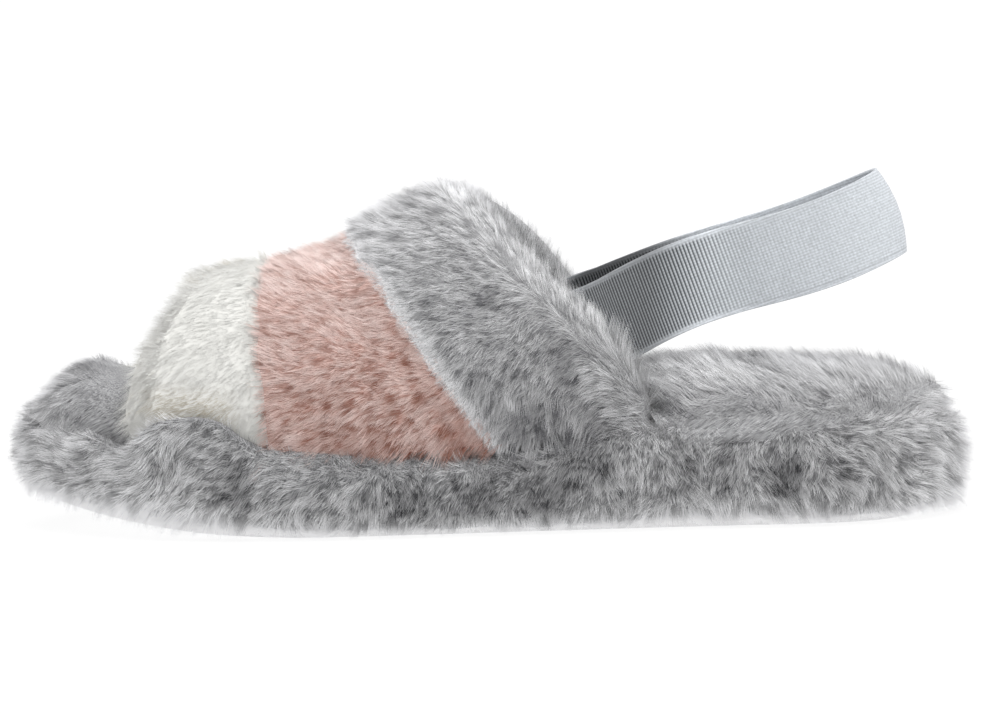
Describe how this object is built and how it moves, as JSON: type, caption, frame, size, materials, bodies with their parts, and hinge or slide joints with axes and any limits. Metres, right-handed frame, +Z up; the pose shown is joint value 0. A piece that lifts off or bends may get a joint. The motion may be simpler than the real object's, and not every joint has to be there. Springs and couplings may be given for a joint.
{
  "type": "slide slipper",
  "caption": "Open-toe slide slipper with a fur-wrapped foam sole, a fur footbed, a hollow upper in white, pink and grey fur panels, and a ribbed elastic strap behind the heel",
  "frame": {"origin": "on the floor, below the middle of the slipper's length and width", "axes": "+X from the toe to the heel, +Y from the outer side of the left foot to its inner side, +Z up from the floor"},
  "size_m": [0.276, 0.1129, 0.0987],
  "materials": {
    "sole_foam": "matte closed-cell foam, pale grey",
    "footbed_fur": "long soft grey faux fur",
    "wrap_fur": "long tufted grey faux fur",
    "lining_cloth": "short grey plush backing",
    "white_fur": "dense soft white faux fur",
    "pink_fur": "dusty pink faux fur, combed towards the toe",
    "collar_fur": "long grey faux fur, combed towards the toe",
    "elastic": "woven elastic with fine ribs across it, pale blue grey"
  },
  "bodies": {
    "root": {"sole": "sole_foam", "insole": "footbed_fur", "sole_wrap": "wrap_fur", "upper": "lining_cloth", "toe_panel": "white_fur", "vamp_panel": "pink_fur", "collar_panel": "collar_fur", "sling_strap": "elastic"}
  },
  "joints": []
}
